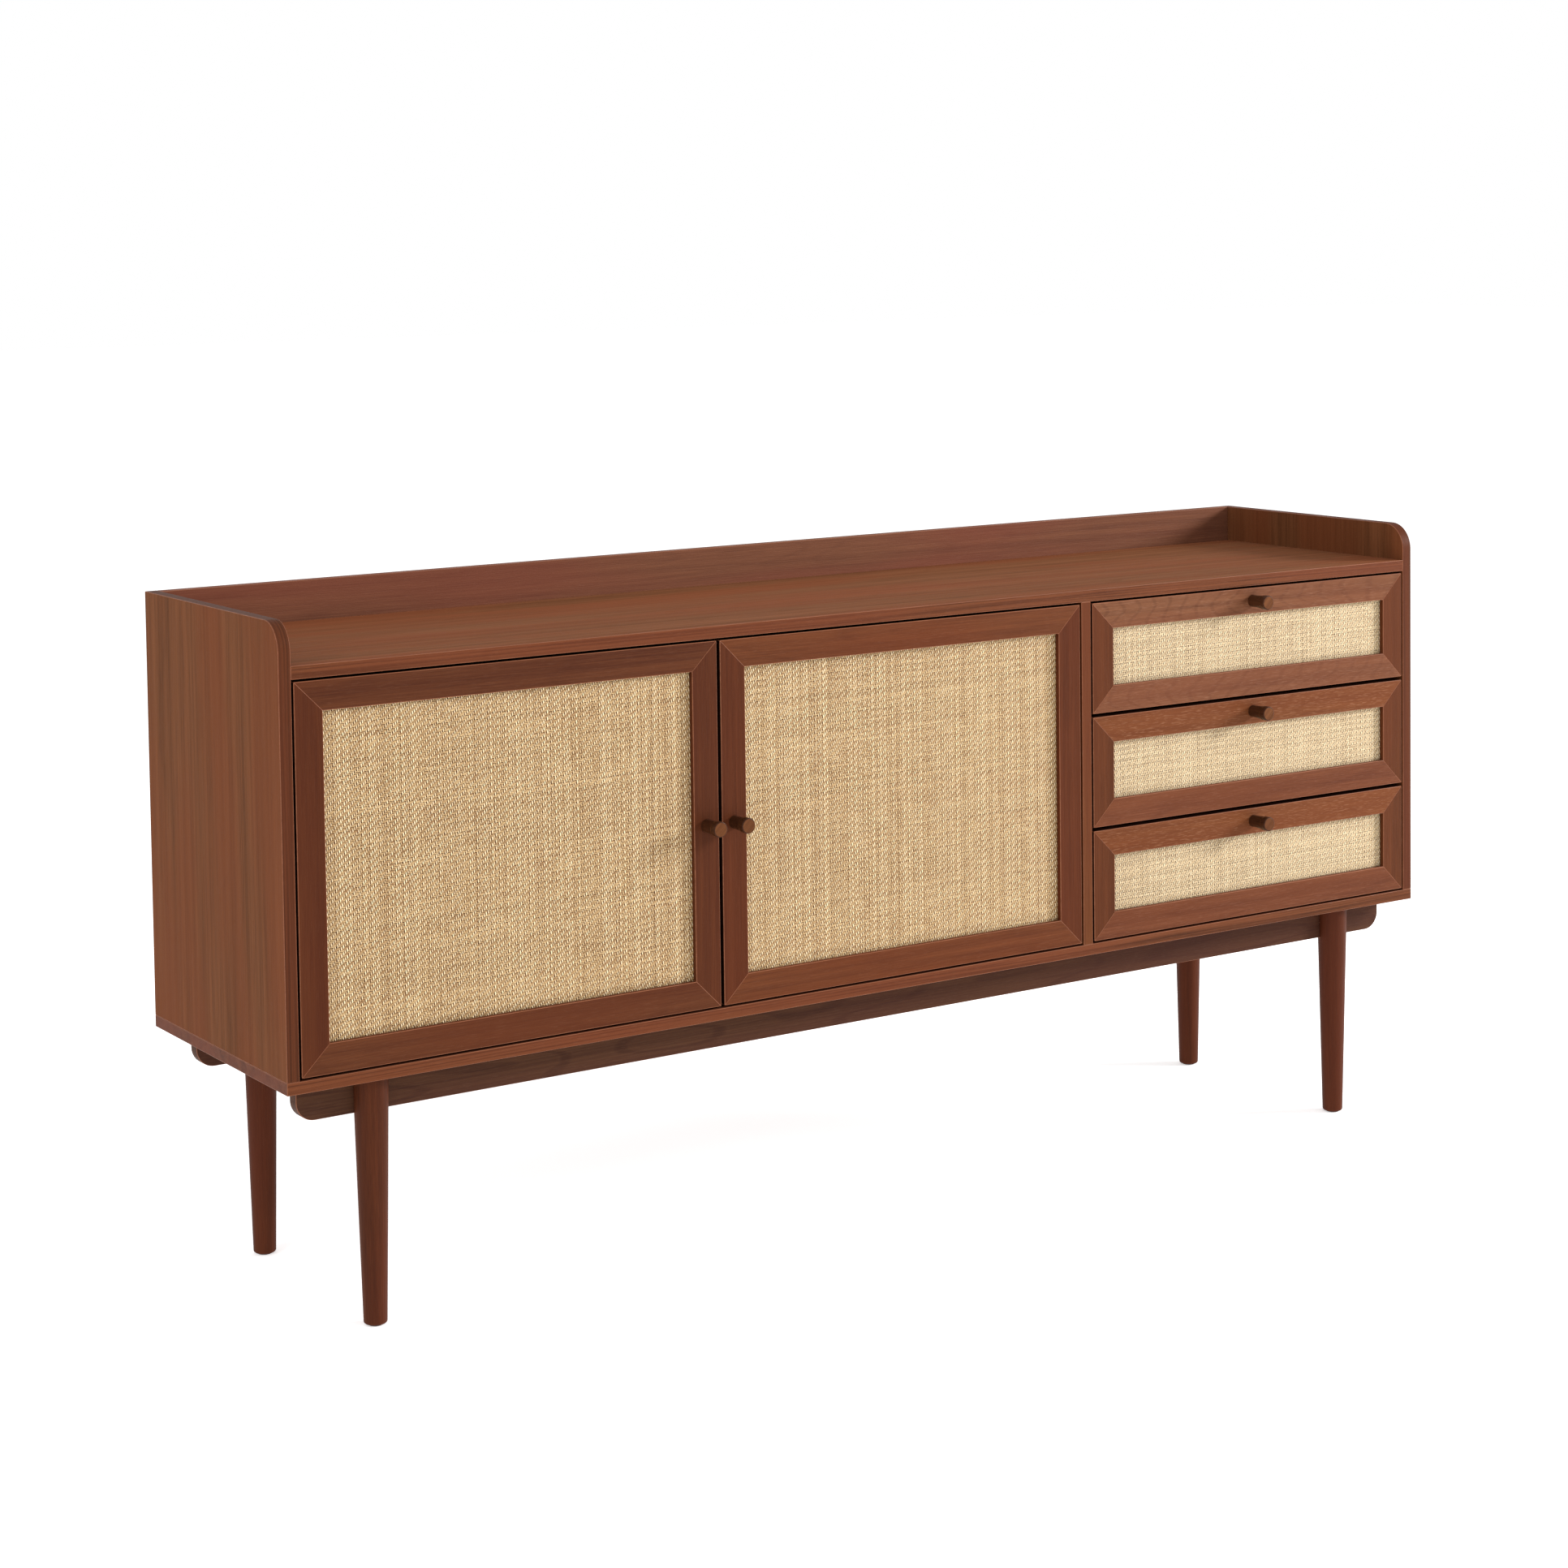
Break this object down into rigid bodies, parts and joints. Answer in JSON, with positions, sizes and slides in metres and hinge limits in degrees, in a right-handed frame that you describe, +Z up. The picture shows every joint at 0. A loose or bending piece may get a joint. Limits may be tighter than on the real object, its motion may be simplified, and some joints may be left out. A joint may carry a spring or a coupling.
{
  "type": "sideboard buffet",
  "caption": "Low walnut sideboard on turned legs, with hinged rattan doors, sliding rattan-fronted drawers and a raised gallery round the top.",
  "frame": {"origin": "on the floor, in the middle of the whole footprint, knobs included", "axes": "+X along the width to the viewer's right, -Y out of the front, +Z up"},
  "size_m": [1.8, 0.434, 0.86],
  "materials": {
    "walnut_veneer": "satin lacquered walnut veneer",
    "solid_walnut": "satin lacquered solid wood in walnut colour",
    "inner_board": "satin walnut foil board",
    "back_sheet": "matt hardboard with walnut print",
    "rattan": "natural woven rattan",
    "stained_ply": "plywood stained in walnut colour",
    "drawer_ply": "clear lacquered birch plywood",
    "zinc_steel": "zinc plated steel",
    "black_plastic": "matt black plastic"
  },
  "bodies": {
    "carcass": {"bottom_board": "walnut_veneer", "side_left": "walnut_veneer", "side_right": "walnut_veneer", "top_panel": "walnut_veneer", "gallery_rail": "walnut_veneer", "divider": "walnut_veneer", "center_partition": "inner_board", "shelf_left": "inner_board", "shelf_right": "inner_board", "shelf_pins": "zinc_steel", "back_panels": "back_sheet", "front_apron": "solid_walnut", "rear_apron": "solid_walnut", "leg_front_left": "solid_walnut", "leg_front_right": "solid_walnut", "leg_rear_left": "solid_walnut", "leg_rear_right": "solid_walnut", "leg_bolts": "zinc_steel", "floor_glides": "black_plastic", "base_screws": "zinc_steel", "cam_fittings": "zinc_steel", "hinge_arms": "zinc_steel", "magnet_catches": "black_plastic", "runner_channels": "zinc_steel"},
    "door_left": {"door_left_frame": "solid_walnut", "door_left_rattan": "rattan", "door_left_backing": "stained_ply", "door_left_knob": "solid_walnut", "door_left_hinge_cups": "zinc_steel", "door_left_strike": "zinc_steel"},
    "door_right": {"door_right_frame": "solid_walnut", "door_right_rattan": "rattan", "door_right_backing": "stained_ply", "door_right_knob": "solid_walnut", "door_right_hinge_cups": "zinc_steel", "door_right_strike": "zinc_steel"},
    "drawer_top": {"drawer_top_frame": "solid_walnut", "drawer_top_rattan": "rattan", "drawer_top_front_board": "stained_ply", "drawer_top_box_sides": "drawer_ply", "drawer_top_box_back": "drawer_ply", "drawer_top_box_bottom": "drawer_ply", "drawer_top_knob": "solid_walnut", "drawer_top_runners": "zinc_steel"},
    "drawer_middle": {"drawer_middle_frame": "solid_walnut", "drawer_middle_rattan": "rattan", "drawer_middle_front_board": "stained_ply", "drawer_middle_box_sides": "drawer_ply", "drawer_middle_box_back": "drawer_ply", "drawer_middle_box_bottom": "drawer_ply", "drawer_middle_knob": "solid_walnut", "drawer_middle_runners": "zinc_steel"},
    "drawer_bottom": {"drawer_bottom_frame": "solid_walnut", "drawer_bottom_rattan": "rattan", "drawer_bottom_front_board": "stained_ply", "drawer_bottom_box_sides": "drawer_ply", "drawer_bottom_box_back": "drawer_ply", "drawer_bottom_box_bottom": "drawer_ply", "drawer_bottom_knob": "solid_walnut", "drawer_bottom_runners": "zinc_steel"}
  },
  "joints": [
    {"name": "door_left_hinge", "type": "hinge", "parent": "carcass", "child": "door_left", "pos_m": [-0.881, -0.183, 0.556], "axis": [0, 0, -1], "range_deg": [0, 90]},
    {"name": "door_right_hinge", "type": "hinge", "parent": "carcass", "child": "door_right", "pos_m": [0.28067, -0.183, 0.556], "axis": [0, 0, 1], "range_deg": [0, 90]},
    {"name": "drawer_top_slide", "type": "slide", "parent": "carcass", "child": "drawer_top", "axis": [0, -1, 0], "range_m": [0, 0.27]},
    {"name": "drawer_middle_slide", "type": "slide", "parent": "carcass", "child": "drawer_middle", "axis": [0, -1, 0], "range_m": [0, 0.27]},
    {"name": "drawer_bottom_slide", "type": "slide", "parent": "carcass", "child": "drawer_bottom", "axis": [0, -1, 0], "range_m": [0, 0.27]}
  ]
}
